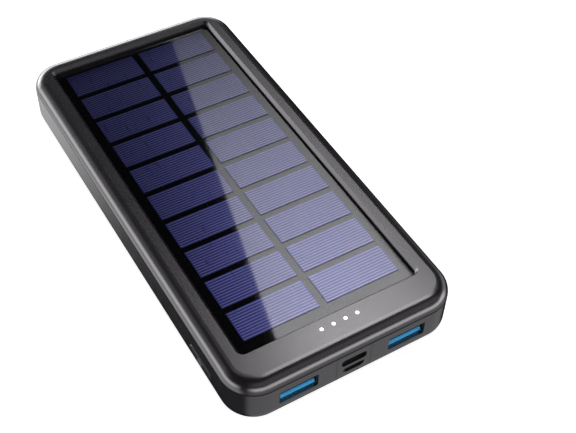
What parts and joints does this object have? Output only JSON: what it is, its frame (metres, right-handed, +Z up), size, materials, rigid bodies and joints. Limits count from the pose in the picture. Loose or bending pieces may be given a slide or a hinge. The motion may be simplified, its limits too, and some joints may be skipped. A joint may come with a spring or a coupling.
{
  "type": "solar phone charger",
  "caption": "Flat solar phone charger: dark plastic casing, framed solar panel on top, charge lights, two large and two small sockets at one end, and a side power button.",
  "frame": {"origin": "centre of the footprint, on the resting face", "axes": "+Z up through the solar panel, +Y along the length away from the sockets, +X across the width away from the power button"},
  "size_m": [0.0753, 0.1548, 0.018],
  "materials": {
    "adhesive": "white double-sided tape",
    "battery_pouch": "laminated foil pouch",
    "capacitor_can": "bright aluminium can",
    "casing": "satin dark grey moulded polycarbonate, soft sheen",
    "chip_black": "moulded epoxy chip package",
    "circuit_board": "green solder mask",
    "clear_cover": "clear glossy epoxy cover sheet",
    "contact_gold": "gold-plated contacts",
    "ferrite": "dark grey ferrite block",
    "foam": "closed-cell foam pad",
    "lead_black": "black silicone-insulated lead",
    "lead_red": "red silicone-insulated lead",
    "led_body": "lit white light chip",
    "light_guide": "clear acrylic light guide with lit ends",
    "panel_backing": "black panel board",
    "screw_steel": "zinc-plated steel",
    "socket_black": "black moulded carrier",
    "socket_blue": "bright blue moulded carrier",
    "socket_metal": "nickel-plated steel, folded",
    "solar_cell": "dark blue silicon with fine silver finger lines",
    "tab_nickel": "nickel strip"
  },
  "bodies": {
    "casing": {"battery_cell_lower": "battery_pouch", "battery_cell_upper": "battery_pouch", "battery_lead_black": "lead_black", "battery_lead_red": "lead_red", "battery_pad": "foam", "battery_tabs": "tab_nickel", "battery_tape": "adhesive", "battery_top_pad": "foam", "board_screws": "screw_steel", "bottom_shell": "casing", "capacitors": "capacitor_can", "control_chips": "chip_black", "indicator_leds": "led_body", "inductors": "ferrite", "light_guide": "light_guide", "main_board": "circuit_board", "micro_usb_contacts": "contact_gold", "micro_usb_shell": "socket_metal", "micro_usb_tongue": "socket_black", "panel_adhesive": "adhesive", "panel_board": "panel_backing", "panel_cover": "clear_cover", "panel_lead_black": "lead_black", "panel_lead_red": "lead_red", "port_plate": "casing", "power_transistors": "chip_black", "protection_board": "circuit_board", "protection_chips": "chip_black", "resistors": "chip_black", "solar_cells": "solar_cell", "switch_body": "socket_black", "top_shell": "casing", "usb_a_contacts_left": "contact_gold", "usb_a_contacts_right": "contact_gold", "usb_a_shell_left": "socket_metal", "usb_a_shell_right": "socket_metal", "usb_a_tongue_left": "socket_blue", "usb_a_tongue_right": "socket_blue", "usb_c_contacts": "contact_gold", "usb_c_shell": "socket_metal", "usb_c_tongue": "socket_black"},
    "power_button": {"power_button": "casing"},
    "switch_plunger": {"switch_plunger": "socket_black"}
  },
  "joints": [
    {"name": "button_press", "type": "slide", "parent": "casing", "child": "power_button", "axis": [1, 0, 0], "range_m": [0, 0.0004], "stiffness_N_per_m": 1200, "springref_m": -0.0002},
    {"name": "plunger_press", "type": "slide", "parent": "casing", "child": "switch_plunger", "axis": [1, 0, 0], "range_m": [0, 0.0004]}
  ],
  "couplings": [
    {"joint": "plunger_press", "follows": "button_press", "ratio": 1}
  ]
}
